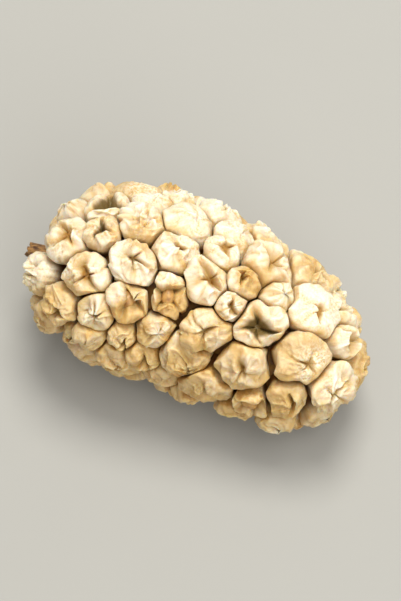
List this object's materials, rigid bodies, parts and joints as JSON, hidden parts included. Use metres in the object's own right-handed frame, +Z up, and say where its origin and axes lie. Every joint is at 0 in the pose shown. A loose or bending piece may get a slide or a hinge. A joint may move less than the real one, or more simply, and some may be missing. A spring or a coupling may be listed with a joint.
{
  "type": "dried mulberry",
  "caption": "Dried white mulberry lying on its side: an oval fruit of tightly set, dimpled drupelets, with a short broken stalk stub in the hollow of one end.",
  "frame": {"origin": "on the surface that the fruit lies on, below the middle of its box", "axes": "+X along the fruit from the stalk end to the tip, +Z up from the surface"},
  "size_m": [0.025, 0.0142, 0.0128],
  "materials": {
    "dried_flesh": "dried fruit flesh, satin and wrinkled, cream on the drupelets' ends, golden beige on their sides and amber brown in the gaps",
    "dried_stalk": "dry fibrous stalk, straw brown, broken at the end"
  },
  "bodies": {
    "root": {"mulberry_fruit": "dried_flesh", "fruit_stalk": "dried_stalk"}
  },
  "joints": []
}
